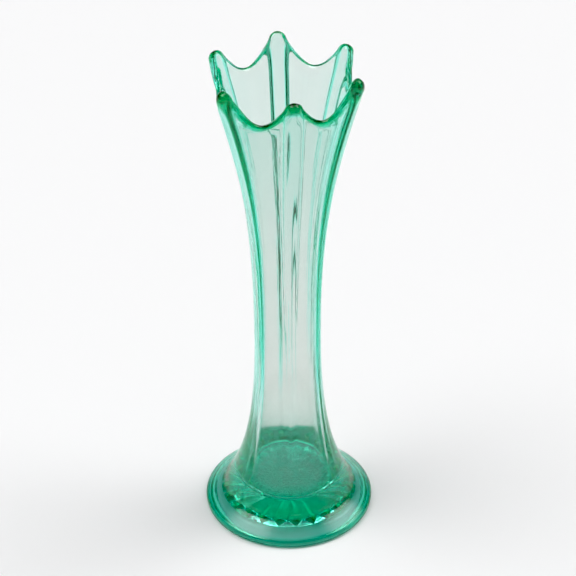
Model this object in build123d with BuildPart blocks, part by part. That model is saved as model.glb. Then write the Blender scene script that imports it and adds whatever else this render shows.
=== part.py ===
"""A pressed and drawn glass bud vase with six ribs, a scalloped mouth and a rayed foot.

The glass is one casting. It is modelled here as the regions that a glassmaker names: the rim of
the foot, the thick base with its pressed star, and the drawn body, which is six ribs that end in
finger tips and the six thin panels between them. All of them share the same curves, so every
piece seats on its neighbours face to face.

The vase stands on the XY plane with its foot centred on the origin. One rib faces -Y.
"""

import os
from math import cos, pi, radians, sin

from build123d import *

os.makedirs("parts", exist_ok=True)

# Foot and base
foot_radius = 41.5
foot_edge_height = 3.4  # depth of the rolled edge
foot_edge_round = 1.5
foot_ring_width = 3.8  # the ring that stands on the table
foot_rim_width = 8.5  # from the edge of the foot to its joint with the base
foot_rim_rise = 5.8  # how much higher the foot is at that joint
recess_height = 6.2  # hollow under the base
hollow_top_pull = 3.0  # how far the hollow's top and side keep their ways in its rounded corner
hollow_side_pull = 2.5
base_sweep_low = 1.6  # how far the foot keeps its slope before it turns up into the skirt
base_sweep_high = 1.8

# Outside of the body, at three stations
foot_spread = 11.2  # from the edge of the foot to the skirt, where the body stands on the base
skirt_lean = 28.5  # degrees from upright
waist_radius = 16.0
waist_height = 103.0
mouth_radius = 36.9
mouth_lean = 18.3
body_lean = 0.38  # degrees that the drawn body leans towards -X

# How far each curve keeps its end's direction, as a share of the run between two stations
skirt_pull = 0.324
below_waist_pull = 0.28
above_waist_pull = 0.39
mouth_pull = 0.37
corner_pull = 0.3

# Inside of the bowl
mouth_wall = 4.4
waist_wall = 2.0
skirt_wall = 8.4  # from the skirt to the widest part of the bowl's bottom
floor_height = 13.6
corner_round = 4.5
corner_lean = 12.0  # degrees that the wall leans inwards where the corner starts
corner_turn = 62.0  # degrees that the corner turns, past its widest, before it meets the floor

# Ribs and finger tips
finger_height = 244.2
finger_offsets = [0.2, 1.0, 0.2, -0.1, 0.7, -1.7]  # each finger was drawn a little differently
rib_names = ["front", "front_right", "back_right", "back", "back_left", "front_left"]
first_rib_azimuth = -90
rib_foot_width = 6.0
rib_waist_width = 4.4
rib_tip_width = 7.8
rib_foot_proud = 0.7
rib_waist_proud = 1.3
rib_mouth_proud = 2.0
rib_round = 0.7

# Scallops between the fingers
panel_names = ["front_right", "right", "back_right", "back_left", "left", "front_left"]
scallop_depth = 14.2
scallop_shoulder = 3.6  # how far below a fingertip a scallop's side runs on to the finger
scallop_slope = 60.0
scallop_bottom_pull = 5.0
scallop_side_pull = 6.0
rim_round = 1.6

# Star pressed into the underside
ray_count = 24
ray_start = 3.0
ray_margin = 0.6  # between the points of the rays and the edge of the base
ray_point = 4.4  # length of a ray's point
ray_depth = 1.6
ray_inner_share = 0.25  # of that depth, half way out
ray_width_share = 0.94  # of the space that each ray has

# Worked out from the sizes above
base_radius = foot_radius - foot_rim_width
base_edge_top = foot_edge_height + foot_rim_rise
ring_inner = foot_radius - foot_ring_width
skirt_radius = foot_radius - foot_spread
corner_radius = skirt_radius - skirt_wall
mouth_height = finger_height + 3  # the mouth station lies just over the tallest finger
stock_top = mouth_height + 3
stock_bottom = floor_height - 0.5  # the body is made a little long, and cut off level
neck_height = finger_height + min(finger_offsets) - rib_tip_width / 2
rib_pitch = 360 / len(rib_names)
clear_of_axis = waist_radius / 2
lean = Location((0, 0, floor_height), (0, -body_lean, 0)) * Location((0, 0, -floor_height))


def along(point, angle, length):
    """The point a length away, in a direction that leans so many degrees out from upright."""
    return (point[0] + length * sin(radians(angle)), point[1] + length * cos(radians(angle)))


def section_plane(azimuth):
    """Upright plane through the vase's axis: x outwards, y up."""
    outwards = (cos(radians(azimuth)), sin(radians(azimuth)), 0)
    across = (sin(radians(azimuth)), -cos(radians(azimuth)), 0)
    return Plane(origin=(0, 0, 0), x_dir=outwards, z_dir=across)


def front_plane(azimuth):
    """Upright plane that faces outwards: x to the viewer's right, y up."""
    outwards = (cos(radians(azimuth)), sin(radians(azimuth)), 0)
    across = (-sin(radians(azimuth)), cos(radians(azimuth)), 0)
    return Plane(origin=(0, 0, 0), x_dir=across, z_dir=outwards)


def drawn_side(bottom, bottom_angle, bottom_pull, waist, mouth):
    """A side of the glass: it narrows from the bottom to the waist and flares to the mouth."""
    lower_run = waist[1] - bottom[1]
    upper_run = mouth[1] - waist[1]
    Bezier(
        bottom,
        along(bottom, bottom_angle, bottom_pull * lower_run),
        along(waist, 0, -below_waist_pull * lower_run),
        waist,
    )
    Bezier(
        waist,
        along(waist, 0, above_waist_pull * upper_run),
        along(mouth, mouth_lean, -mouth_pull * upper_run),
        mouth,
    )
    stock_end = along(mouth, mouth_lean, (stock_top - mouth[1]) / cos(radians(mouth_lean)))
    Line(mouth, stock_end)
    return stock_end


def body_form(azimuth, arc, foot_proud=0, waist_proud=0, mouth_proud=0):
    """Part of a turn of the body's outside, filled to the axis, standing proud where asked."""
    spare = (floor_height - stock_bottom) / cos(radians(skirt_lean))
    skirt = along((skirt_radius + foot_proud, floor_height), -skirt_lean, -spare)
    waist = (waist_radius + waist_proud, waist_height)
    mouth = (mouth_radius + mouth_proud, mouth_height)
    with BuildPart() as form:
        with BuildSketch(section_plane(azimuth - arc / 2)):
            with BuildLine():
                top_end = drawn_side(skirt, -skirt_lean, skirt_pull, waist, mouth)
                Polyline(top_end, (0, stock_top), (0, stock_bottom), skirt)
            make_face()
        revolve(axis=Axis.Z, revolution_arc=arc)
    return form.part


def bowl_form():
    """The space inside the body, from just under its floor to over its mouth."""
    spare_turn = 15  # the corner runs on a little below the floor, where the body is cut level
    whole_turn = corner_lean + corner_turn + spare_turn
    corner_height = floor_height + corner_round * sin(radians(corner_turn))
    centre = (corner_radius - corner_round, corner_height)
    corner = along(centre, 90 - corner_lean, corner_round)
    waist = (waist_radius - waist_wall, waist_height)
    mouth = (mouth_radius - mouth_wall, mouth_height)
    with BuildPart() as form:
        with BuildSketch(Plane.XZ):
            with BuildLine():
                turn = CenterArc(centre, corner_round, corner_lean, -whole_turn)
                top_end = drawn_side(corner, -corner_lean, corner_pull, waist, mouth)
                over = (top_end[0], stock_top + 1)
                Polyline(top_end, over, (0, over[1]), (0, stock_bottom - 1))
                toe = ((turn @ 1).X, stock_bottom - 1)
                Polyline((0, toe[1]), toe, turn @ 1)
            make_face()
        revolve(axis=Axis.Z)
    return form.part


def rib_prism(azimuth, tip=None):
    """A rib's outline seen from in front, extruded outwards: round at the tip, or left open."""
    foot = (rib_foot_width / 2, stock_bottom)
    waist = (rib_waist_width / 2, waist_height)
    neck = (rib_tip_width / 2, neck_height)
    lower_run = waist[1] - foot[1]
    upper_run = neck[1] - waist[1]
    with BuildPart() as prism:
        with BuildSketch(front_plane(azimuth).offset(clear_of_axis)):
            with BuildLine():
                Line((0, 0), (foot[0], 0))
                Line((foot[0], 0), foot)
                Bezier(
                    foot,
                    along(foot, 0, below_waist_pull * lower_run),
                    along(waist, 0, -below_waist_pull * lower_run),
                    waist,
                )
                Bezier(
                    waist,
                    along(waist, 0, above_waist_pull * upper_run),
                    along(neck, 0, -above_waist_pull * upper_run),
                    neck,
                )
                if tip is None:
                    Line(neck, (neck[0], stock_top + 1))
                    Line((neck[0], stock_top + 1), (0, stock_top + 1))
                else:
                    spring = (neck[0], tip - neck[0])
                    if spring[1] > neck[1]:
                        Line(neck, spring)
                    CenterArc((0, spring[1]), neck[0], 0, 90)
                mirror(about=Plane.YZ)
            make_face()
        extrude(amount=2 * foot_radius)
    return prism.part


def scallop_prism(azimuth):
    """All that lies over one scallop of the rim, seen from in front and extruded outwards."""
    bottom = (0, finger_height - scallop_depth)
    half_width = mouth_radius * sin(radians(rib_pitch / 2)) - rib_tip_width / 2
    shoulder = (half_width, finger_height - scallop_shoulder)
    side = 90 - scallop_slope
    side_end = along(shoulder, side, (stock_top + 1 - shoulder[1]) / cos(radians(side)))
    with BuildPart() as prism:
        with BuildSketch(front_plane(azimuth)):
            with BuildLine():
                Bezier(
                    bottom,
                    (scallop_bottom_pull, bottom[1]),
                    along(shoulder, side, -scallop_side_pull),
                    shoulder,
                )
                Line(shoulder, side_end)
                Line(side_end, (0, side_end[1]))
                mirror(about=Plane.YZ)
            make_face()
        extrude(amount=2 * foot_radius)
    return prism.part


def foot_rim():
    """The outer ring of the foot, with its rolled edge and the ring that it stands on."""
    with BuildPart() as rim:
        with BuildSketch(Plane.XZ):
            with BuildLine():
                Bezier(
                    (base_radius, recess_height),
                    (base_radius + hollow_top_pull, recess_height),
                    (ring_inner, hollow_side_pull),
                    (ring_inner, 0),
                )
                Polyline(
                    (ring_inner, 0),
                    (foot_radius, 0),
                    (foot_radius, foot_edge_height),
                    (base_radius, base_edge_top),
                    (base_radius, recess_height),
                )
            face = make_face()
            edge_corners = face.vertices().group_by(Axis.X)[-1]
            fillet(edge_corners, foot_edge_round)
        revolve(axis=Axis.Z)
    return rim.part


def star_ray():
    """One pressed ray along +X: a groove that widens and deepens, and closes in a point."""
    space = 2 * pi / ray_count * ray_width_share
    ray_tip = base_radius - ray_margin
    ray_end = ray_tip - ray_point
    stations = [
        (ray_start, 1, 0.04),
        (ray_end / 2, 1, ray_inner_share),
        (ray_end, 1, 1),
        (ray_tip, 0.04, 0.04),
    ]
    with BuildPart() as ray:
        for radius, width_share, depth_share in stations:
            half_width = radius * space / 2 * width_share
            depth = ray_depth * depth_share
            with BuildSketch(Plane.YZ.offset(radius)):
                with BuildLine():
                    Polyline(
                        (-half_width, recess_height - 1),
                        (half_width, recess_height - 1),
                        (half_width, recess_height),
                        (0, recess_height + depth),
                        (-half_width, recess_height),
                        close=True,
                    )
                make_face()
        loft(ruled=True)
    return ray.part


def star_base():
    """The thick floor of the vase: skirt on top, rays underneath, and the roots of the ribs."""
    foot_slope = foot_rim_rise / foot_rim_width
    edge = (base_radius, base_edge_top)
    edge_pull = (base_radius - base_sweep_low, base_edge_top + base_sweep_low * foot_slope)
    skirt = (skirt_radius, floor_height)
    root = (skirt_radius + rib_foot_proud, floor_height)
    outline = rib_prism(0)
    ray = star_ray()
    with BuildPart() as body:
        with BuildSketch(Plane.XZ):
            with BuildLine():
                Polyline((0, floor_height), (0, recess_height), (base_radius, recess_height), edge)
                Bezier(edge, edge_pull, along(skirt, -skirt_lean, -base_sweep_high), skirt)
                Line(skirt, (0, floor_height))
            make_face()
        revolve(axis=Axis.Z)
    with BuildPart() as roots:
        with BuildSketch(section_plane(-30)):
            with BuildLine():
                Polyline(
                    (skirt_radius / 2, floor_height),
                    (skirt_radius / 2, base_edge_top),
                    edge,
                    root,
                    close=True,
                )
            make_face()
        revolve(axis=Axis.Z, revolution_arc=60)
        add(outline, mode=Mode.INTERSECT)
    with BuildPart() as base:
        add(body.part)
        with PolarLocations(0, len(rib_names), start_angle=first_rib_azimuth):
            add(roots.part)
        with PolarLocations(0, ray_count, start_angle=first_rib_azimuth):
            add(ray, mode=Mode.SUBTRACT)
    return base.part


def seat(blank):
    """Lean a piece of the body over and cut it off level, where it stands on the base."""
    with BuildPart() as piece:
        with Locations(lean):
            add(blank)
        split(bisect_by=Plane.XY.offset(floor_height), keep=Keep.TOP)
    return piece.part


def rib(azimuth, tip, bowl):
    """One rib of the drawn body, from the base to its rounded finger tip."""
    form = body_form(0, 90, rib_foot_proud, rib_waist_proud, rib_mouth_proud)
    outline = rib_prism(0, tip)
    with BuildPart() as blank:
        add(form)
        add(outline, mode=Mode.INTERSECT)
        outside = blank.edges().filter_by(lambda edge: edge.center().X > clear_of_axis + 1)
        lengthwise = outside.filter_by(lambda edge: abs(edge.center().Y) > rib_waist_width / 4)
        fillet(lengthwise.filter_by(lambda edge: abs(edge.tangent_at(0.5).X) < 0.9), rib_round)
        add(bowl, mode=Mode.SUBTRACT)
    return seat(blank.part.rotate(Axis.Z, azimuth))


def panel(azimuth, bowl):
    """One thin panel of the drawn body between two ribs, with a scallop for its rim."""
    cutters = [bowl, rib_prism(-rib_pitch / 2), rib_prism(rib_pitch / 2), scallop_prism(0)]
    form = body_form(0, rib_pitch)
    with BuildPart() as blank:
        add(form)
        add(cutters, mode=Mode.SUBTRACT)
        high = blank.edges().filter_by(
            lambda edge: edge.center().Z > finger_height - scallop_depth
            and edge.length > 2 * mouth_wall
        )
        fillet(high, rim_round)
    return seat(blank.part.rotate(Axis.Z, azimuth))


foot = foot_rim()
foot.label = "foot_rim"
export_step(foot, "parts/foot_rim.step")

base = star_base()
base.label = "star_base"
export_step(base, "parts/star_base.step")

bowl = bowl_form()
for index, name in enumerate(rib_names):
    tip_height = finger_height + finger_offsets[index]
    piece = rib(first_rib_azimuth + index * rib_pitch, tip_height, bowl)
    piece.label = f"rib_{name}"
    export_step(piece, f"parts/rib_{name}.step")

for index, name in enumerate(panel_names):
    piece = panel(first_rib_azimuth + (index + 0.5) * rib_pitch, bowl)
    piece.label = f"panel_{name}"
    export_step(piece, f"parts/panel_{name}.step")
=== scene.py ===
# %% [markdown]
# # A green glass bud vase
#
# The vase is one piece of pressed glass that was drawn out while it was hot. Glass shows its
# inside as well as its outside, so the lesson builds one closed skin that runs all the way
# round: under the foot, over its edge, up the ribbed wall, over the scalloped rim, down the
# inside and across the floor of the bowl. Separate pieces that touch would show every joint,
# because light bends at each face. A revolved shape with modifiers could come close, but a
# surface worked out as arrays keeps its columns on the edges of the ribs.

# %% The frame
import math

import bpy
import numpy as np
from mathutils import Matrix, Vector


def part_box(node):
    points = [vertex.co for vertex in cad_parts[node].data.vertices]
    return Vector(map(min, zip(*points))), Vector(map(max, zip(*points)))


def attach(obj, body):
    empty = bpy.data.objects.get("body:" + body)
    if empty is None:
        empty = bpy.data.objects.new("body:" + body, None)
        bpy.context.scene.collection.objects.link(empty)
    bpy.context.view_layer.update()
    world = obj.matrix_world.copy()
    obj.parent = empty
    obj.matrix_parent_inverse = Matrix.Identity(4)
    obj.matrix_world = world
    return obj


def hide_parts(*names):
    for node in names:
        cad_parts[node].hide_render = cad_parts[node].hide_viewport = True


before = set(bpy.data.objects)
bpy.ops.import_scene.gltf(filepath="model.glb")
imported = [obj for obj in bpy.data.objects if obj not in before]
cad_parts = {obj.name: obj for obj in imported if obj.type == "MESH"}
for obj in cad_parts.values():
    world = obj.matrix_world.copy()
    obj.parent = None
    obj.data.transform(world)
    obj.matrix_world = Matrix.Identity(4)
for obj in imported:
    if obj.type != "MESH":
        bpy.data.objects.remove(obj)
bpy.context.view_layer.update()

# %% [markdown]
# ## Sizes
#
# The heights and radii that the solid model settles are read from its boxes. The rest are the
# sizes that a glassmaker would note on a drawing: where the wall is widest and narrowest, how
# thick it is, and how far the ribs stand out. All lengths are in millimetres until the mesh is
# made, and angles are in degrees where their name says lean or turn.

# %% Sizes read from the frame
MM = 0.001
rib_names = ["front", "front_right", "back_right", "back", "back_left", "front_left"]
first_rib = math.radians(-90)
rib_pitch = math.radians(360 / len(rib_names))

foot_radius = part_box("foot_rim")[1].x / MM
base_low, base_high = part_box("star_base")
base_radius, floor_height, recess_height = base_high.x / MM, base_high.z / MM, base_low.z / MM
base_edge_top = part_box("foot_rim")[1].z / MM
tip_heights = np.array([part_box("rib_" + name)[1].z / MM for name in rib_names])
print("foot", round(foot_radius, 2), "floor", round(floor_height, 2), "tips", tip_heights.round(1))

# %% Sizes of the foot
foot_edge_height = 3.4
foot_edge_round = 1.6
foot_ring_width = 3.8
# Near the foot's edge the deeper green is partly painted shade.
rolled_edge = 0.9  # how far in from its edge the foot's green is deeper
base_sweep_low = 1.6  # how far the foot keeps its slope before it turns up into the skirt
base_sweep_high = 1.8
hollow_top_pull = 3.0  # how far the hollow's top and side keep their ways in its corner
hollow_side_pull = 2.5
ring_inner = foot_radius - foot_ring_width
foot_slope = (base_edge_top - foot_edge_height) / (foot_radius - base_radius)
print("the foot rises", round(foot_slope, 2), "mm for each mm inwards")

# %% Sizes of the drawn body
finger_height = 244.2
foot_spread = 11.2  # from the skirt out to the edge of the foot
skirt_radius = foot_radius - foot_spread
skirt_lean = 28.5
waist = (16.0, 103.0)  # radius and height
mouth = (36.9, finger_height + 3)
mouth_lean = 18.3
body_lean = 0.38
skirt_pull, corner_pull = 0.324, 0.3  # pulls are shares of the height between a curve's ends
below_waist_pull, above_waist_pull, mouth_pull = 0.28, 0.39, 0.37

mouth_wall = 4.4
waist_wall = 2.0
skirt_wall = 8.4
corner_radius = skirt_radius - skirt_wall
corner_round = 4.5
corner_turn = 62  # degrees of the corner's arc, from upright towards the flat floor
corner_lean = 12
print("skirt", round(skirt_radius, 2), "waist", waist[0], "mouth", mouth[0])

# %% Sizes of the ribs and the rim
rib_half_widths = {"foot": 3.0, "waist": 2.2, "tip": 3.9}
rib_proud = {"foot": 0.2, "waist": 0.9, "mouth": 2.4}
rib_edge_round = {"waist": 0.9, "mouth": 1.6, "tip": 3.4}
rib_fillet = 1.0
fillet_columns_reach = 3 * rib_fillet  # the fillet's columns run on a little over the panel
crisp_from, crisp_over = 90, 130  # above this height the ribs' sides turn from soft to crisp
rim_taper, tip_taper, rim_keep = 6.2, 10.0, 0.3  # where the wall thins, and what is left of it
rib_end_round = 1.2
tip_end_round = 2.4  # added to that at the finger tips
tip_bead, tip_bead_reach = 0.6, 5.0

tip_round = 3.9
tip_arc = math.radians(72)
scallop_depth = 14.2
scallop_side_pull, scallop_bottom_pull = 6.0, 6.5
rim_radius = 35.0  # radius that distances round the rim are measured at
valley_heights = np.array([230.9, 230.3, 230.5, 230.8, 230.2, 229.8])
print("scallops, from tip to valley, mm:", (tip_heights - valley_heights).round(1))

# %% [markdown]
# ## Curves of the wall
#
# The wall sweeps in from the skirt to the waist and flares out again to the mouth. A curve
# object with a Screw modifier could turn such an outline into a body, but the ribs and the rim
# have to know the radius at every height. So each side of the wall is two cubic Bezier curves
# that meet, upright, at the waist. A curve is sampled finely once, and its radius at any height
# is then read off by interpolation, which keeps every later step a plain function of height.

# %% Curves and soft steps
SAMPLES = 600


def bezier(*points):
    """Cubic Bezier: four points weighted by (1-t)^3, 3t(1-t)^2, 3t^2(1-t) and t^3."""
    t = np.linspace(0, 1, SAMPLES)[:, None]
    u = 1 - t
    p = np.array(points, float)
    return u**3 * p[0] + 3 * t * u**2 * p[1] + 3 * t**2 * u * p[2] + t**3 * p[3]


def along(point, lean, length):
    """The point a length away in a direction that leans so many degrees out from upright."""
    a = math.radians(lean)
    return (point[0] + length * math.sin(a), point[1] + length * math.cos(a))


def smooth(x):
    """An even step from 0 to 1 as x goes from 0 to 1, level at both ends: 3x^2 - 2x^3."""
    x = np.clip(x, 0, 1)
    return x * x * (3 - 2 * x)


def quarter_round(x):
    """Height of a quarter circle of radius 1 at a distance x in from its edge, and 1 past it."""
    x = np.clip(x, 0, 1)
    return np.sqrt(1 - (1 - x) ** 2)


print("at a quarter of their way:", round(float(smooth(0.25)), 3), round(float(quarter_round(0.25)), 3))

# %% Both sides of the wall
def drawn_side(bottom, bottom_lean, bottom_pull, at_waist, at_mouth):
    """Radius and height along a side of the wall, from its bottom past the waist to the mouth."""
    low, high = at_waist[1] - bottom[1], at_mouth[1] - at_waist[1]
    lower = bezier(
        bottom,
        along(bottom, bottom_lean, bottom_pull * low),
        along(at_waist, 0, -below_waist_pull * low),
        at_waist,
    )
    upper = bezier(
        at_waist,
        along(at_waist, 0, above_waist_pull * high),
        along(at_mouth, mouth_lean, -mouth_pull * high),
        at_mouth,
    )
    return np.vstack([lower, upper[1:]])


def outside(foot=0, middle=0, top=0):
    """The outside of the wall, standing proud by so much at the skirt, waist and mouth."""
    skirt = (skirt_radius + foot, floor_height)
    return drawn_side(
        skirt, -skirt_lean, skirt_pull, (waist[0] + middle, waist[1]), (mouth[0] + top, mouth[1])
    )


def at_height(side, z):
    """Radius of a side of the wall at each height."""
    return np.interp(z, side[:, 1], side[:, 0])


corner_height = floor_height + corner_round * math.sin(math.radians(corner_turn))
corner_top = along((corner_radius - corner_round, corner_height), 90 - corner_lean, corner_round)
wall_out = outside()
rib_out = outside(rib_proud["foot"], rib_proud["waist"], rib_proud["mouth"])
wall_in = drawn_side(
    corner_top, -corner_lean, corner_pull,
    (waist[0] - waist_wall, waist[1]), (mouth[0] - mouth_wall, mouth[1]),
)
wall_now = at_height(wall_out, waist[1]) - at_height(wall_in, waist[1])
print("wall at the waist, mm:", round(float(wall_now), 2))

# %% [markdown]
# ## The rim
#
# The rim swings between six round finger tips, where the ribs were pulled out furthest. It
# could be cut from a plain mouth with a Boolean modifier, but that leaves a sharp edge and
# uneven faces, so the wall is made to end at the rim's own height. Seen flattened out, the rim
# climbs from the bottom of each scallop to a finger tip. The tip is an arc, and the rest of the
# way down is one Bezier. The same curve is used for every finger, stretched to that finger's
# own height, because each was drawn a little differently.

# %% The rim as a function of the distance round it
scallop_half = rim_radius * rib_pitch / 2
tip_end = (tip_round * math.sin(tip_arc), tip_round * (1 - math.cos(tip_arc)))
flank = bezier(
    tip_end,
    (
        tip_end[0] + scallop_side_pull * math.cos(tip_arc),
        tip_end[1] + scallop_side_pull * math.sin(tip_arc),
    ),
    (scallop_half - scallop_bottom_pull, scallop_depth),
    (scallop_half, scallop_depth),
)


def rim_drop(a):
    """How far the rim lies under a finger's tip, as a share of the scallop's depth."""
    arc = tip_round - np.sqrt(np.maximum(tip_round**2 - a**2, 0))
    return np.where(a < tip_end[0], arc, np.interp(a, flank[:, 0], flank[:, 1])) / scallop_depth


def rim_height(a, tip, valley):
    """Height of the rim at a distance a round it from the middle of a finger."""
    return tip - (tip - valley) * rim_drop(np.abs(a))


print("the tip's arc ends", round(tip_end[0], 2), "mm from a finger's middle")

# %% [markdown]
# ## Columns and rows
#
# The skin is a grid. Its columns run up the wall, and they follow the edges of the ribs: from
# the middle of a rib to its edge they are spaced as the sine of an angle, which crowds them
# where the rib's side is steep, then a few columns turn the small fillet at the rib's foot, and
# the rest spread over the panel. Even columns would be simpler, but they would cut across the
# edges of the ribs and leave steps in the reflections. Near the foot the columns fan back to
# equal angles, so that the rays of the star, which divide the circle evenly, fall on whole ones.

# %% Columns
RIB_COLUMNS, FILLET_COLUMNS, PANEL_COLUMNS = 16, 4, 16
HALF = RIB_COLUMNS + FILLET_COLUMNS + PANEL_COLUMNS
COLUMNS = 2 * HALF * len(rib_names)


def per_column(values):
    """One value for each column of the whole turn, from one value for each finger."""
    return np.repeat(np.asarray(values, float), 2 * HALF)


def every_finger(values):
    """The columns of one finger, repeated for the whole turn."""
    return np.tile(values, len(rib_names))


step = np.arange(-HALF, HALF)
side_step = np.abs(step)
sign = every_finger(np.sign(step))
even_share = every_finger(side_step / HALF)
in_rib = every_finger(side_step <= RIB_COLUMNS)
rib_share = every_finger(np.sin(np.minimum(side_step / RIB_COLUMNS, 1) * math.pi / 2))
fillet_turn = np.clip((side_step - RIB_COLUMNS) / FILLET_COLUMNS, 0, 1) * math.pi / 2
fillet_share = every_finger(1 - np.cos(fillet_turn))
panel_step = side_step - RIB_COLUMNS - FILLET_COLUMNS
panel_share = every_finger(np.clip(panel_step / PANEL_COLUMNS, 0, 1))

rib_azimuth = per_column(first_rib + rib_pitch * np.arange(len(rib_names)))
even_azimuth = rib_azimuth + sign * even_share * rib_pitch / 2
print("columns:", COLUMNS)

# %% Fingers and valleys of each column
tips = per_column(tip_heights)
right_valleys, left_valleys = valley_heights, np.roll(valley_heights, 1)
valleys = np.where(sign < 0, per_column(left_valleys), per_column(right_valleys))


def rib_half_width(z):
    """Half of a rib's width: widest at the tip, narrowest at the waist, eased between them."""
    neck = finger_height - tip_round
    widths = rib_half_widths
    low = smooth((z - floor_height) / (waist[1] - floor_height))
    high = smooth((z - waist[1]) / (neck - waist[1]))
    to_waist, to_tip = widths["waist"] - widths["foot"], widths["tip"] - widths["waist"]
    return widths["foot"] + to_waist * low + to_tip * high


def wall_angle(z, radius):
    """Angle of each column from the middle of its rib. A rib's edge lies at arcsin(width/radius)."""
    width = rib_half_width(z)
    reach = np.minimum(radius, rim_radius)
    rib_edge = np.arcsin(width / reach)
    fillet = fillet_columns_reach / reach
    inside = np.arcsin(width * rib_share / reach)
    past = rib_edge + fillet * fillet_share
    panel = past + (rib_pitch / 2 - rib_edge - fillet) * panel_share
    return np.where(in_rib, inside, panel)


stations = np.array([floor_height, waist[1], finger_height])
print("ribs at the floor, waist and tips, mm wide:", (2 * rib_half_width(stations)).round(2))

# %% [markdown]
# ## The wall, from the foot up to the rim and down inside
#
# The wall is thin where the glass was drawn out most and thick at the mouth. A Solidify modifier
# could give a surface its wall, but with one thickness and square edges, so both sides are
# worked out. Half way through the wall runs a middle surface. The outside stands half the wall's
# thickness out from it and the inside as far in. The flame thins the last few millimetres, so the
# wall tapers towards the rim, and close to it the thickness shrinks as a circle does, so the
# rim comes out round. A rib adds its own height to the outside only. Low down, where the glass
# was drawn out most, a rib is a soft swell. Higher up it has a flat face, a rounded edge and a
# small fillet at its foot.

# %% Distance to the rim
search = 0.65  # how far to each side the nearest point of the rim is looked for, in half scallops
neighbour = np.linspace(-search, search, 361) * scallop_half


def rim_distance(angle, z):
    """Shortest way to the rim, over the flattened wall, from each column's point at a height."""
    a = angle * rim_radius
    near = a[None, :] + neighbour[:, None]
    folded = np.minimum(np.abs(near), 2 * scallop_half - np.abs(near))
    height = rim_height(folded, tips, valleys)
    return np.sqrt(((near - a) ** 2 + (height - z) ** 2).min(axis=0))


def near_tip(z):
    """1 at the middle of a finger tip's arc, and less above and below it, as a bell curve."""
    return np.exp(-(((tips - tip_round - z) / tip_bead_reach) ** 2))


waist_row = np.full(COLUMNS, waist[1])
waist_to_rim = rim_distance(wall_angle(waist_row, waist[0]), waist_row)
print("from waist to rim, mm:", waist_to_rim.min().round(1))

# %% How far a rib stands out
def rib_height(angle, z, radius):
    """Height of a rib over the panel: a soft swell low down, a crisp flat-topped bar higher up."""
    bead = near_tip(z)
    proud = at_height(rib_out, z) - at_height(wall_out, z) + tip_bead * bead
    width = rib_half_width(z)
    across = radius * np.sin(angle)
    centre = tips - tip_round
    from_tip = np.hypot(across, np.maximum(z - centre, 0))
    inside = width - np.where(z > centre, from_tip, across)
    low = np.clip((z - waist[1]) / (mouth[1] - waist[1]), 0, 1)
    edge = rib_edge_round["waist"] + (rib_edge_round["mouth"] - rib_edge_round["waist"]) * low**2
    edge = edge + (rib_edge_round["tip"] - edge) * bead
    fillet = np.clip((rib_fillet + inside) / rib_fillet, 0, 1)
    hollow = rib_fillet * (1 - np.sqrt(1 - fillet**2))
    bar = rib_fillet + (proud - rib_fillet) * quarter_round(inside / edge)
    crisp = np.where(inside < 0, hollow, bar)
    soft = proud * smooth(inside / width)
    return soft + (crisp - soft) * smooth((z - crisp_from) / crisp_over)


stands = at_height(rib_out, stations) - at_height(wall_out, stations)
print("ribs at the floor, waist and tips, mm proud:", stands.round(2))

# %% [markdown]
# ## Where the green is deeper, partly as painted shade
#
# The colour of the glass comes from its thickness, and the material below takes care of that.
# A deeper green is laid on as well: round the rim, in the finger tips, along the edges of the ribs,
# on the skirt, in the ends of the star's rays and round the edge of the foot. Part of it follows
# the glass that was worked most. Part of it is painted shade for the dark and deep greens that
# light shows there, most of all the lines along the ribs' edges and the deeper tips and rim on the
# front side. It could be a second material with its own pieces, but one number on each point of
# the skin, from 0 in the clear panels to about 1, blends without a seam.

# %% Depth of the green over the wall
# Painted shade: a dark green line along the edges of each rib. It is deepest on the back rib, there is
# none on the front one, and it rises from low on the wall.
rib_edge_painted_shade = np.array([0, 0.7, 0.35, 1.5, 0.35, 0.7])
rib_shade_width, rib_shade_inset = 0.6, 0.2
rib_shade_from, rib_shade_over = 40, 100  # the height it begins at, and what it deepens over
# Painted shade: a deeper green cap on each finger tip. It is deepest on the fingers at the front and
# there is none on the back one.
tip_painted_shade = np.array([0.5, 0.6, 0.1, 0, 0.2, 0.5])
tip_shade_height, tip_shade_fade = 3.5, 2
# The rim's green is partly the glass's own deeper green. The extra on the front side is painted shade.
rim_depth, rim_front_painted_shade = 0.5, 0.08
rim_reach = {"outer": (0.8, 1.3), "inner": (0.3, 0.3)}  # at the back, and added at the front
# The greens low on the wall, inside and out, and round the foot, skirt, hollow and floor are partly the
# glass's own deeper green and partly painted shade.
skirt_depth, skirt_reach, body_depth, body_reach = 0.3, 7, 0.12, 14
inner_depth, inner_from, inner_reach = 0.2, 4, 4
ring_green_and_shade = {
    "edge": 0.4, "flange": 0.07, "sweep": 0.12, "skirt": skirt_depth + body_depth,
    "hollow": 0.09, "ring inside": 0.06, "ring": 0.2, "corner": inner_depth, "floor": 0.05,
    "pole": 0.12,
}


def rim_green_and_shade(angle, distance, outer):
    """Green at the rim, partly painted shade: on the side of the front finger it is painted a little
    deeper and reaches a little further down.
    """
    front = (1 - np.sin(rib_azimuth + sign * angle)) / 2
    at_back, at_front = rim_reach["outer" if outer else "inner"]
    reach = at_back + at_front * front
    return (rim_depth + rim_front_painted_shade * front) * (1 - smooth(distance / reach))


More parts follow.
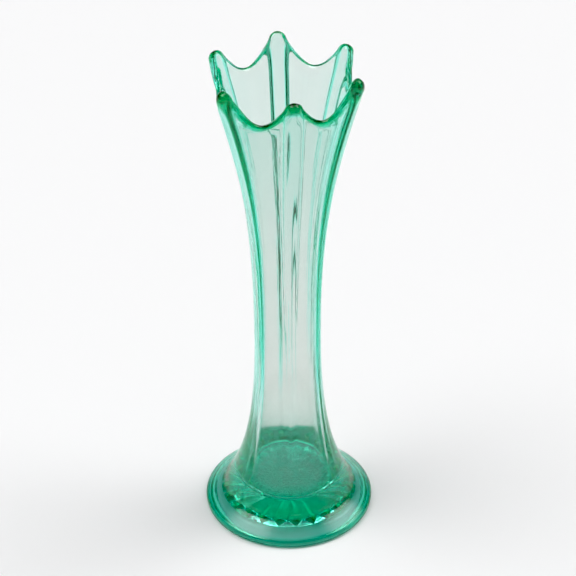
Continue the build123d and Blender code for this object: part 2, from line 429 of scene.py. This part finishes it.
def wall_green_and_shade(angle, z, distance, outer):
    """The deepest of the greens at the rim, the tips, the ribs' edges and the bottom, partly painted
    shade.
    """
    rim = rim_green_and_shade(angle, distance, outer)
    up = z - floor_height
    if not outer:
        return np.maximum(rim, inner_depth * (1 - smooth((up - inner_from) / inner_reach)))
    tip_shade = per_column(tip_painted_shade) * (1 - smooth((tips - z - tip_shade_height) / tip_shade_fade))
    from_edge = angle * np.minimum(rim_radius, at_height(wall_out, z)) - rib_half_width(z)
    # The painted shade along the ribs' edges.
    line = per_column(rib_edge_painted_shade) * np.exp(-(((from_edge + rib_shade_inset) / rib_shade_width) ** 2))
    line = line * smooth((z - rib_shade_from) / rib_shade_over)
    low = skirt_depth * (1 - smooth(up / skirt_reach)) + body_depth * (1 - smooth(up / body_reach))
    return np.maximum.reduce([rim, tip_shade, line, low])


print("green line along the ribs' edges:", dict(zip(rib_names, rib_edge_painted_shade.tolist())))

# %% Rows of the wall
def wall_row(z, outer):
    """One row of the wall: a height for each column, on the outside or the inside."""
    out, inn = at_height(wall_out, z), at_height(wall_in, z)
    middle, half = (out + inn) / 2, (out - inn) / 2
    angle = wall_angle(z, middle)
    distance = rim_distance(angle, z)
    taper = quarter_round(np.minimum(distance / rim_taper, (tips - z) / tip_taper))
    taper = rim_keep + (1 - rim_keep) * taper
    half = half * taper
    half = half * quarter_round(distance / half)
    if outer:
        rib_end = quarter_round(distance / (rib_end_round + tip_end_round * near_tip(z)))
        radius = middle + half + rib_height(angle, z, middle) * rib_end * taper
    else:
        radius = middle - half
    turn = rib_azimuth + sign * angle
    green = wall_green_and_shade(angle, z, distance, outer)
    return np.stack([radius * np.cos(turn), radius * np.sin(turn), z, green], axis=1)


def lean_over(points):
    """The drawn body leans a little: each point moves to -X with its height over the floor."""
    up = np.maximum(points[:, 2] - floor_height, 0)
    points[:, 0] -= up * math.tan(math.radians(body_lean))
    return points


print("the lean moves the tips by, mm:", round(finger_height * math.tan(math.radians(body_lean)), 2))

# %% Heights of the rows
BODY_ROWS, RIM_ROWS = 60, 12
CROWDING = 1.5  # 1 would space the body's rows evenly
rim_band = 2.6  # width of the band along the rim that has its own rows

angle_at_rim = wall_angle(np.full(COLUMNS, mouth[1]), np.full(COLUMNS, rim_radius))
round_rim = angle_at_rim * rim_radius
rim_z = rim_height(round_rim, tips, valleys)
beside = 0.05  # the rim's slope is measured between points this far to each side
rim_before = rim_height(round_rim - beside, tips, valleys)
rim_after = rim_height(round_rim + beside, tips, valleys)
band_z = rim_band * np.sqrt(1 + ((rim_after - rim_before) / (2 * beside)) ** 2)


def wall_heights(bottom):
    """Heights from a bottom to the rim, which crowd together as they come near it."""
    heights = []
    for share in 1 - (1 - np.linspace(0, 1, BODY_ROWS, endpoint=False)) ** CROWDING:
        heights.append(bottom + (rim_z - band_z - bottom) * share)
    for turn in np.linspace(0, math.pi / 2, RIM_ROWS):
        heights.append(rim_z - band_z * (1 - math.sin(turn)))
    return heights


wall_outside = [lean_over(wall_row(z, True)) for z in wall_heights(floor_height)]
wall_inside = [lean_over(wall_row(z, False)) for z in wall_heights(corner_top[1])[-2:0:-1]]
print("rim from", rim_z.min().round(1), "to", rim_z.max().round(1), "mm")

# %% [markdown]
# ## Foot, skirt and star
#
# The foot is a thick disc with a rolled edge, and a star of rays was pressed into it from below.
# A Screw modifier could turn the disc and an Array could cut the grooves, but cut edges need
# cleaning up, and a ring whose height changes with the angle needs none. So the rows are rings.
# The foot's edge is a rounded corner, its top sweeps up into the skirt, and the ribs run out on
# that sweep. Underneath, each ray of the star is a groove: its depth and width grow with the
# distance from the middle and close in a point.

# %% Rings of the foot
def ring(radius, z, green, angles=None):
    """A level ring. Its height and its green are one value or one for each column."""
    angles = even_azimuth if angles is None else angles
    z, green = (np.broadcast_to(np.asarray(v, float), COLUMNS) for v in (z, green))
    return np.stack([radius * np.cos(angles), radius * np.sin(angles), z, green], axis=1)


def rounded_corner(corner, before, after, radius, count):
    """Points of an arc that rounds a corner between two directions, given as unit vectors. Its
    spokes turn evenly: each is a blend of the end spokes, by the sines of the angles to them."""
    before, after, corner = map(np.array, (before, after, corner))
    half = math.acos(float(np.clip(before @ after, -1, 1))) / 2
    inset = radius * math.tan(half)
    start, end = corner - before * inset, corner + after * inset
    normal = (after - before) / np.linalg.norm(after - before)
    centre = corner + normal * radius / math.cos(half)
    t = np.linspace(0, 1, count)[:, None]
    spokes = (start - centre) * np.sin((1 - t) * 2 * half) + (end - centre) * np.sin(t * 2 * half)
    return centre + spokes / math.sin(2 * half)


EDGE_ROWS = 7
slope_way = np.array([-1, foot_slope]) / math.hypot(1, foot_slope)
edge_low = rounded_corner((foot_radius, 0), (1, 0), (0, 1), foot_edge_round, EDGE_ROWS)
edge_high = rounded_corner(
    (foot_radius, foot_edge_height), (0, 1), slope_way, foot_edge_round, EDGE_ROWS
)
top_of_foot = np.linspace(edge_high[-1], (base_radius, base_edge_top), 6)[1:]
foot_rings = []
for r, z in np.vstack([edge_low, edge_high, top_of_foot]):
    foot_rings.append(ring(r, z, ring_green_and_shade["edge" if r > foot_radius - rolled_edge else "flange"]))
print("rings of the foot:", len(foot_rings))

# %% The sweep from foot to skirt
SWEEP_ROWS = 12
sweep = bezier(
    (base_radius, base_edge_top),
    (base_radius - base_sweep_low, base_edge_top + base_sweep_low * foot_slope),
    along((skirt_radius, floor_height), -skirt_lean, -base_sweep_high),
    (skirt_radius, floor_height),
)


def skirt_row(radius, z, share):
    """A row of the sweep. A share of the way up, the columns turn from even angles to the ribs'
    edges, and the feet of the ribs rise out of it."""
    even = even_share * rib_pitch / 2
    follow = wall_angle(np.full(COLUMNS, floor_height), np.full(COLUMNS, radius))
    angle = even + (follow - even) * smooth(share)
    inside = (rib_half_widths["foot"] - radius * np.sin(angle)) / rib_edge_round["waist"]
    stand = radius + rib_proud["foot"] * share**2 * quarter_round(inside)
    green = ring_green_and_shade["sweep"] + (ring_green_and_shade["skirt"] - ring_green_and_shade["sweep"]) * smooth(2 * share)
    return ring(stand, z, green, rib_azimuth + sign * angle)


picks = np.linspace(0, SAMPLES - 1, SWEEP_ROWS + 1).astype(int)[1:-1]
skirt = [skirt_row(r, z, i / SWEEP_ROWS) for i, (r, z) in enumerate(sweep[picks], 1)]
print("rows of the sweep:", len(skirt))

# %% The star under the foot
ray_count = 24
ray_start, ray_margin, ray_point, ray_depth = 3.0, 0.6, 4.4, 1.6
ray_width_share = 0.9  # of the space that each ray has
ray_start_share, ray_inner_share = 0.04, 0.55  # of the full depth, at the start and half way out
# The deeper green towards the rays' ends is partly painted shade for their dark points.
ray_green, ray_end_green_and_shade, ray_green_from, ray_green_over = 0.08, 0.55, 24.5, 4
smallest = 1e-6  # keeps a width that closes to nothing from being divided by
pole_radius = 1.5  # radius of the smallest ring round each pole
ray_tip = base_radius - ray_margin
ray_end = ray_tip - ray_point
ray_pitch = 2 * math.pi / ray_count
from_ray = np.abs((even_azimuth - first_rib + ray_pitch / 2) % ray_pitch - ray_pitch / 2)


def star_ring(radius):
    """A ring of the underside: a V groove under each ray, full until its point begins. The green, partly
    painted shade, is deeper further out, and falls as 1 - x^3 from a ray's middle to the ridge beside it."""
    full = np.clip((ray_tip - radius) / ray_point, 0, 1) * np.clip(radius / ray_start - 1, 0, 1)
    half = ray_pitch * ray_width_share / 2 * max(full, smallest)
    stages, depths = [ray_start, ray_end / 2, ray_end], [ray_start_share, ray_inner_share, 1]
    cut = ray_depth * np.interp(radius, stages, depths) * full
    deep = ray_green + ray_end_green_and_shade * smooth((radius - ray_green_from) / ray_green_over)
    green = deep * (1 - (2 * from_ray / ray_pitch) ** 3)
    return ring(radius, recess_height + cut * np.clip(1 - from_ray / half, 0, 1), green)


star_radii = np.concatenate([np.linspace(pole_radius, ray_end, 16), np.linspace(ray_end, ray_tip, 9)[1:]])
star = [star_ring(r) for r in star_radii]
print("rings of the star:", len(star))

# %% The hollow and the standing ring
HOLLOW_ROWS = 12
hollow_side = bezier(
    (base_radius, recess_height),
    (base_radius + hollow_top_pull, recess_height),
    (ring_inner, hollow_side_pull),
    (ring_inner, 0),
)
hollow = [ring(r, z, ring_green_and_shade["hollow"]) for r, z in hollow_side[:: SAMPLES // HOLLOW_ROWS]]
hollow += [ring(ring_inner, 0, ring_green_and_shade["ring inside"])]
hollow += [ring((ring_inner + edge_low[0][0]) / 2, 0, ring_green_and_shade["ring"])]
print("standing ring, mm:", round(ring_inner, 2), "to", round(edge_low[0][0], 2))

# %% The floor of the bowl
CORNER_ROWS, FLOOR_ROWS = 12, 6
corner_turns = np.radians(np.linspace(-corner_lean, corner_turn, CORNER_ROWS))
corner_r = corner_radius - corner_round * (1 - np.cos(corner_turns))
corner_z = corner_height - corner_round * np.sin(corner_turns)
floor_angle = wall_angle(np.full(COLUMNS, floor_height), np.full(COLUMNS, corner_radius))
floor_azimuth = rib_azimuth + sign * floor_angle

corner = [ring(r, z, ring_green_and_shade["corner"], floor_azimuth) for r, z in zip(corner_r, corner_z)]
floor_radii = np.linspace(corner_r[-1], pole_radius, FLOOR_ROWS + 1)[1:]
floor = [ring(r, floor_height, ring_green_and_shade["floor"], floor_azimuth) for r in floor_radii]
print("the floor is flat out to", round(corner_r[-1], 2), "mm")

# %% [markdown]
# ## One closed skin
#
# The rows are stacked from the middle of the underside, out, up, over and back to the middle
# of the floor. Each square of four neighbouring points is a face, the last column joins the
# first, and one point at each end closes the poles. Bridging edge loops by hand gives the same
# skin, but has to be done again whenever a size changes. Two numbers ride on the points: how
# deep the green is, partly painted shade, and how much of the mould's grain is left, which is
# only where no flame came.

# %% Points of the skin
rows = star + hollow + foot_rings + skirt + wall_outside + wall_inside + corner + floor
poles = [[0, 0, recess_height, ring_green_and_shade["pole"]], [0, 0, floor_height, ring_green_and_shade["pole"]]]
vertices = np.vstack([np.stack(rows).reshape(-1, 4), poles])
points, green_and_painted_shade = vertices[:, :3] * MM, vertices[:, 3]

star_grain, floor_grain, corner_bare_rows = 0.15, 1, 8
grain_rows = np.zeros(len(rows))
grain_rows[: len(star)] = star_grain
grain_rows[-len(corner + floor) + corner_bare_rows :] = floor_grain
pressed = np.append(np.repeat(grain_rows, COLUMNS), [star_grain, floor_grain])
print("rows:", len(rows), "points:", len(points))

# %% Faces and the mesh
def closed_grid_faces(row_count, column_count):
    """Squares between rows, wrapped round the columns, and a fan of triangles at each pole."""
    row = np.arange(row_count - 1)[:, None] * column_count
    here = np.arange(column_count)[None, :]
    after = (here + 1) % column_count
    next_row = row + column_count
    squares = np.stack([row + here, row + after, next_row + after, next_row + here], axis=-1)
    here, after = here[0], after[0]
    last = (row_count - 1) * column_count
    pole = np.full(column_count, row_count * column_count)
    bottom = np.stack([pole, after, here], axis=1)
    top = np.stack([pole + 1, last + here, last + after], axis=1)
    return squares.reshape(-1, 4).tolist() + bottom.tolist() + top.tolist()


mesh = bpy.data.meshes.new("vase_glass")
mesh.from_pydata(points.tolist(), [], closed_grid_faces(len(rows), COLUMNS))
mesh.validate()
mesh.shade_smooth()
for name, values in (("green_and_painted_shade", green_and_painted_shade), ("pressed", pressed)):
    mesh.attributes.new(name, "FLOAT", "POINT").data.foreach_set("value", values)
vase = bpy.data.objects.new("vase_glass", mesh)
bpy.context.scene.collection.objects.link(vase)
print("faces:", len(mesh.polygons))

# %% Which way the faces point
def face_values(name, width):
    """One of the mesh's numbers or vectors for each face, as an array."""
    values = np.zeros(len(mesh.polygons) * width)
    mesh.polygons.foreach_get(name, values)
    return values.reshape(-1, width)


outward_flow = face_values("normal", 3) * face_values("center", 3) * face_values("area", 1)
print("glass volume, ml, above 0 if the faces point outwards:", round(outward_flow.sum() / 3 * 1e6, 1))

# %% [markdown]
# ## Marks of the making
#
# Drawn glass is never quite even. Fine lines run up it, the surface swells slowly, and where
# the mould pressed it and no flame came later there is a fine grain. The table leaves scuffs
# on the lowest millimetre. Painted textures could hold these marks, but noise needs no picture
# and no unwrapping, and stays sharp from near by. The marks are one node group, so that any
# glass can use them with its own values. It puts out a height for a bump and a mask of scuffs.

# %% Small helpers for node trees
def add_math(tree, operation, *terms):
    """One sum in a node tree: each of its terms is a socket or a plain number."""
    node = tree.nodes.new("ShaderNodeMath")
    node.operation = operation
    for socket, term in zip(node.inputs, terms):
        if isinstance(term, bpy.types.NodeSocket):
            tree.links.new(term, socket)
        else:
            socket.default_value = term
    return node.outputs["Value"]


def add_range(tree, value, taken, given, kind="LINEAR"):
    """The stretch of values taken, laid onto the stretch given. SMOOTHSTEP softens both ends."""
    node = tree.nodes.new("ShaderNodeMapRange")
    node.interpolation_type = kind
    for name, bound in zip(("From Min", "From Max", "To Min", "To Max"), (*taken, *given)):
        node.inputs[name].default_value = bound
    tree.links.new(value, node.inputs["Value"])
    return node.outputs["Result"]


def add_noise(tree, vector, scale, detail):
    """Soft noise between about -0.5 and 0.5, whose spots are 1/scale across."""
    noise = tree.nodes.new("ShaderNodeTexNoise")
    noise.inputs["Scale"].default_value = scale
    noise.inputs["Detail"].default_value = detail
    tree.links.new(vector, noise.inputs["Vector"])
    return add_math(tree, "SUBTRACT", noise.outputs["Fac"], 0.5)


print("helpers:", add_math.__name__, add_range.__name__, add_noise.__name__)

# %% The group and its sockets
marks = bpy.data.node_groups.new("drawn_and_pressed", "ShaderNodeTree")
for name in ("Lines", "Swell", "Stipple", "Pressed"):
    marks.interface.new_socket(name=name, in_out="INPUT", socket_type="NodeSocketFloat")
for name in ("Height", "Scuffs"):
    marks.interface.new_socket(name=name, in_out="OUTPUT", socket_type="NodeSocketFloat")
asked = marks.nodes.new("NodeGroupInput").outputs
put_out = marks.nodes.new("NodeGroupOutput").inputs
place = marks.nodes.new("ShaderNodeTexCoord").outputs["Object"]
noises = {"lines": (14, 3), "swell": (60, 1), "stipple": (850, 2), "scratches": (900, 4)}
print("group:", marks.name, "its noises, as scale and detail:", noises)

# %% Lines that run up the glass
# The lines are noise on a vector that turns round the axis fast and climbs it slowly: the
# direction outwards, of length 1 whatever the radius, plus the height in metres.
parts = marks.nodes.new("ShaderNodeSeparateXYZ")
marks.links.new(place, parts.inputs["Vector"])
level = marks.nodes.new("ShaderNodeCombineXYZ")
marks.links.new(parts.outputs["X"], level.inputs["X"])
marks.links.new(parts.outputs["Y"], level.inputs["Y"])
outward = marks.nodes.new("ShaderNodeVectorMath")
outward.operation = "NORMALIZE"
marks.links.new(level.outputs["Vector"], outward.inputs[0])
upward = marks.nodes.new("ShaderNodeCombineXYZ")
marks.links.new(parts.outputs["Z"], upward.inputs["Z"])
drawn_out = marks.nodes.new("ShaderNodeVectorMath")
drawn_out.operation = "ADD"
marks.links.new(outward.outputs["Vector"], drawn_out.inputs[0])
marks.links.new(upward.outputs["Vector"], drawn_out.inputs[1])
drawn_noise = add_noise(marks, drawn_out.outputs["Vector"], *noises["lines"])
lines = add_math(marks, "MULTIPLY", drawn_noise, asked["Lines"])
print("nodes for the lines:", len(marks.nodes))

# %% Swell, grain and scuffs
swell = add_math(marks, "MULTIPLY", add_noise(marks, place, *noises["swell"]), asked["Swell"])
stipple = add_math(marks, "MULTIPLY", add_noise(marks, place, *noises["stipple"]), asked["Stipple"])
stipple = add_math(marks, "MULTIPLY", stipple, add_math(marks, "POWER", asked["Pressed"], 2))
height = add_math(marks, "ADD", add_math(marks, "ADD", lines, swell), stipple)
marks.links.new(height, put_out["Height"])

scuff_height = 1.2 * MM
near_table = add_range(marks, parts.outputs["Z"], (scuff_height, 0.0), (0, 1))
scratched = add_math(marks, "ADD", add_noise(marks, place, *noises["scratches"]), 0.5)
marks.links.new(add_math(marks, "MULTIPLY", near_table, scratched), put_out["Scuffs"])
print("nodes in the group:", len(marks.nodes))

# %% [markdown]
# ## The finish of the glass
#
# Green glass is a clear body whose colour grows with the way that light goes through it. One
# flat colour on the skin would tint the thin panels and the thick foot alike, so the body itself
# absorbs light, red most of all. Each crossing of the skin takes a little more, by the green
# that the points carry, which is partly painted shade, and by how edge-on the skin is seen,
# because light then goes a long way through it. The skin's tint runs along one colour ramp,
# worked out as a falling exponential: the thicker the green, the more is taken from red first
# and from all three at last.

# %% Clear glass
glass = bpy.data.materials.new("green_glass")
glass.use_nodes = True
tree = glass.node_tree
shader = tree.nodes["Principled BSDF"]
shader.inputs["IOR"].default_value = 1.5
shader.inputs["Specular IOR Level"].default_value = 0.3
shader.inputs["Transmission Weight"].default_value = 1
print("material:", glass.name)

# %% Tint of the skin
# The green that each point carries is partly the glass's own deeper green and partly painted shade.
carried = tree.nodes.new("ShaderNodeAttribute")
carried.attribute_name = "green_and_painted_shade"
facing = tree.nodes.new("ShaderNodeLayerWeight")
facing.inputs["Blend"].default_value = 0.5
edge_green = 0.3  # green that is added where the skin is seen quite edge-on
edge_on = add_range(tree, facing.outputs["Facing"], (0.45, 1), (0, edge_green), "SMOOTHSTEP")

tint = tree.nodes.new("ShaderNodeValToRGB")
thin_wall, clear = np.array([0.92, 0.88, 0.87]), np.array([0.99, 0.99, 0.98])
at_first, at_last = np.array([7.0, 0.2, 0.7]), np.array([4.0, 5.5, 9.0])
shares = [0, 0.1, 0.2, 0.4, 0.6, 0.8, 1]
while len(tint.color_ramp.elements) < len(shares):
    tint.color_ramp.elements.new(0.5)
for element, share in zip(tint.color_ramp.elements, shares):
    element.position = share
    element.color = (*(clear * np.exp(-at_first * share - at_last * share**3)), 1)
tint.color_ramp.elements[0].color = (*thin_wall, 1)
tree.links.new(add_math(tree, "ADD", carried.outputs["Fac"], edge_on), tint.inputs["Fac"])
tree.links.new(tint.outputs["Color"], shader.inputs["Base Color"])
print("ramp stops:", len(tint.color_ramp.elements))

# %% Marks and polish
grain = tree.nodes.new("ShaderNodeAttribute")
grain.attribute_name = "pressed"
making = tree.nodes.new("ShaderNodeGroup")
making.node_tree = marks
for name, strength in (("Lines", 0.05), ("Swell", 0.12), ("Stipple", 1.3)):
    making.inputs[name].default_value = strength
tree.links.new(grain.outputs["Fac"], making.inputs["Pressed"])

bump = tree.nodes.new("ShaderNodeBump")
bump.inputs["Strength"].default_value = 1
bump.inputs["Distance"].default_value = MM
tree.links.new(making.outputs["Height"], bump.inputs["Height"])
tree.links.new(bump.outputs["Normal"], shader.inputs["Normal"])

polished, scuffed, frost = 0.015, 0.4, 0.15  # roughnesses. Frost is added where grain is left
polish = add_range(tree, making.outputs["Scuffs"], (0, 1), (polished, scuffed))
frosted = add_math(tree, "MULTIPLY_ADD", grain.outputs["Fac"], frost, polish)
tree.links.new(frosted, shader.inputs["Roughness"])
print("marks:", {socket.name: round(socket.default_value, 2) for socket in making.inputs})

# %% Colour of the body, and handing the skin over
body = tree.nodes.new("ShaderNodeVolumeAbsorption")
body.inputs["Color"].default_value = (0.05, 0.92, 0.77, 1)
body.inputs["Density"].default_value = 50
tree.links.new(body.outputs["Volume"], tree.nodes["Material Output"].inputs["Volume"])
mesh.materials.append(glass)

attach(vase, "root")
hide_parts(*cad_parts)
print("the skin stands for", len(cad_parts), "CAD nodes")

# %% [markdown]
# ## Camera
#
# The camera looks down at the vase, by a little over a third of a right angle, through a long
# lens that keeps the foot and the mouth in nearly the same scale. It turns round a point on the
# axis, so its place is one distance along one direction. It could also be aimed by a constraint,
# but two angles say the same in a way that can be read.

# %% Camera
scene = bpy.context.scene
camera_turn, camera_rise = math.radians(-6.3), math.radians(34.32)
camera_distance, aim = 1.0, np.array([0, 0, 0.126])
back = np.array([
    math.sin(camera_turn) * math.cos(camera_rise),
    -math.cos(camera_turn) * math.cos(camera_rise),
    math.sin(camera_rise),
])
camera = bpy.data.objects.new("camera", bpy.data.cameras.new("camera"))
scene.collection.objects.link(camera)
camera.location = aim + back * camera_distance
camera.rotation_euler = (math.pi / 2 - camera_rise, 0, camera_turn)
camera.data.sensor_width = 36
camera.data.lens = 132.5
camera.data.shift_x = -0.0015
scene.camera = camera
print("camera at, m:", [round(v, 3) for v in camera.location])

# %% [markdown]
# ## Floor
#
# Clear glass shows what is behind it, so the floor is one plain pale sheet, large enough that
# no edge of it is seen through the glass. A backdrop that curves up behind would hide the
# horizon too, but its bend would show in the foot. The sheet lies a tenth of a millimetre under
# the foot, because two faces in one plane would flicker.

# %% Floor
half_side, below_foot = 6.0, 0.1 * MM
signs = [(-1, -1), (1, -1), (1, 1), (-1, 1)]
floor_corners = [(x * half_side, y * half_side, 0) for x, y in signs]
floor_mesh = bpy.data.meshes.new("table")
floor_mesh.from_pydata(floor_corners, [], [(0, 1, 2, 3)])
table = bpy.data.objects.new("table", floor_mesh)
table.location.z = -below_foot
scene.collection.objects.link(table)

paint = bpy.data.materials.new("table_paint")
paint.use_nodes = True
coat = paint.node_tree.nodes["Principled BSDF"].inputs
coat["Base Color"].default_value = (0.92, 0.92, 0.925, 1)
coat["Roughness"].default_value = 0.7
coat["Specular IOR Level"].default_value = 0.2
floor_mesh.materials.append(paint)
print("floor, m across:", 2 * half_side)

# %% [markdown]
# ## Surroundings
#
# Glass is mostly a picture of its room. The room is bright below the horizon and straight up,
# and dim at the sides, so that thick green glass stays deep. Two soft patches of light, high on
# the left and the right, give the foot its pair of quiet reflections and light the table
# evenly. Area lights could do that, but their edges would show in the glass as hard shapes. Each
# patch here is the dot product of a ray's direction with the way to the lamp, eased.

# %% The room
world = bpy.data.worlds.new("studio")
scene.world = world
world.use_nodes = True
sky = world.node_tree
direction = sky.nodes.new("ShaderNodeTexCoord").outputs["Generated"]
split = sky.nodes.new("ShaderNodeSeparateXYZ")
sky.links.new(direction, split.inputs["Vector"])

room = sky.nodes.new("ShaderNodeValToRGB")
room.color_ramp.interpolation = "EASE"
stops = [(0.0, 0.9), (0.14, 0.4), (0.3, 0.2), (0.85, 0.1), (0.97, 1.05)]
while len(room.color_ramp.elements) < len(stops):
    room.color_ramp.elements.new(0.5)
for stop, (position, grey) in zip(room.color_ramp.elements, stops):
    stop.position = position
    stop.color = (grey, grey, grey, 1)
sky.links.new(split.outputs["Z"], room.inputs["Fac"])
print("brightness by height:", stops)

# %% Two soft lamps
def way_to(azimuth, elevation):
    """Unit vector to a place in the room. Azimuth 0 is in front, and 90 is to the right."""
    turn, rise = math.radians(azimuth), math.radians(elevation)
    return (math.sin(turn) * math.cos(rise), -math.cos(turn) * math.cos(rise), math.sin(rise))


def soft_lamp(azimuth, elevation, reach, brightness):
    """A patch of light that fades out evenly from its middle to so many degrees away."""
    nearness = sky.nodes.new("ShaderNodeVectorMath")
    nearness.operation = "DOT_PRODUCT"
    nearness.inputs[1].default_value = way_to(azimuth, elevation)
    sky.links.new(direction, nearness.inputs[0])
    faded = (math.cos(math.radians(reach)), 1)
    return add_range(sky, nearness.outputs["Value"], faded, (0, brightness), "SMOOTHSTEP")


lamp_reach, lamp_brightness = 26, 4.65
left_lamp = soft_lamp(-92, 60, lamp_reach, lamp_brightness)
right_lamp = soft_lamp(102, 50, lamp_reach, lamp_brightness)
lamps = add_math(sky, "ADD", left_lamp, right_lamp)
whole_room = sky.nodes.new("ShaderNodeVectorMath")
whole_room.operation = "ADD"
sky.links.new(room.outputs["Color"], whole_room.inputs[0])
sky.links.new(lamps, whole_room.inputs[1])
sky.links.new(whole_room.outputs["Vector"], sky.nodes["Background"].inputs["Color"])
print("nodes of the room:", len(sky.nodes))

# %% [markdown]
# ## Tone
#
# The colours are shown as they are, with the darkest tones drawn down a little, as a camera
# does. A look with more contrast would do that too, but it would also change the pale floor.
# Light crosses a glass vase many times, so the paths are allowed many bounces.

# %% Tone and light paths
scene.view_settings.view_transform = "Standard"
scene.view_settings.use_curve_mapping = True
scene.view_settings.curve_mapping.black_level = (0.03, 0.03, 0.03)
scene.view_settings.curve_mapping.update()
bounces = 32
scene.cycles.max_bounces = bounces
scene.cycles.transmission_bounces = bounces
scene.cycles.glossy_bounces = bounces
scene.cycles.use_denoising = True
print("bounces:", bounces)
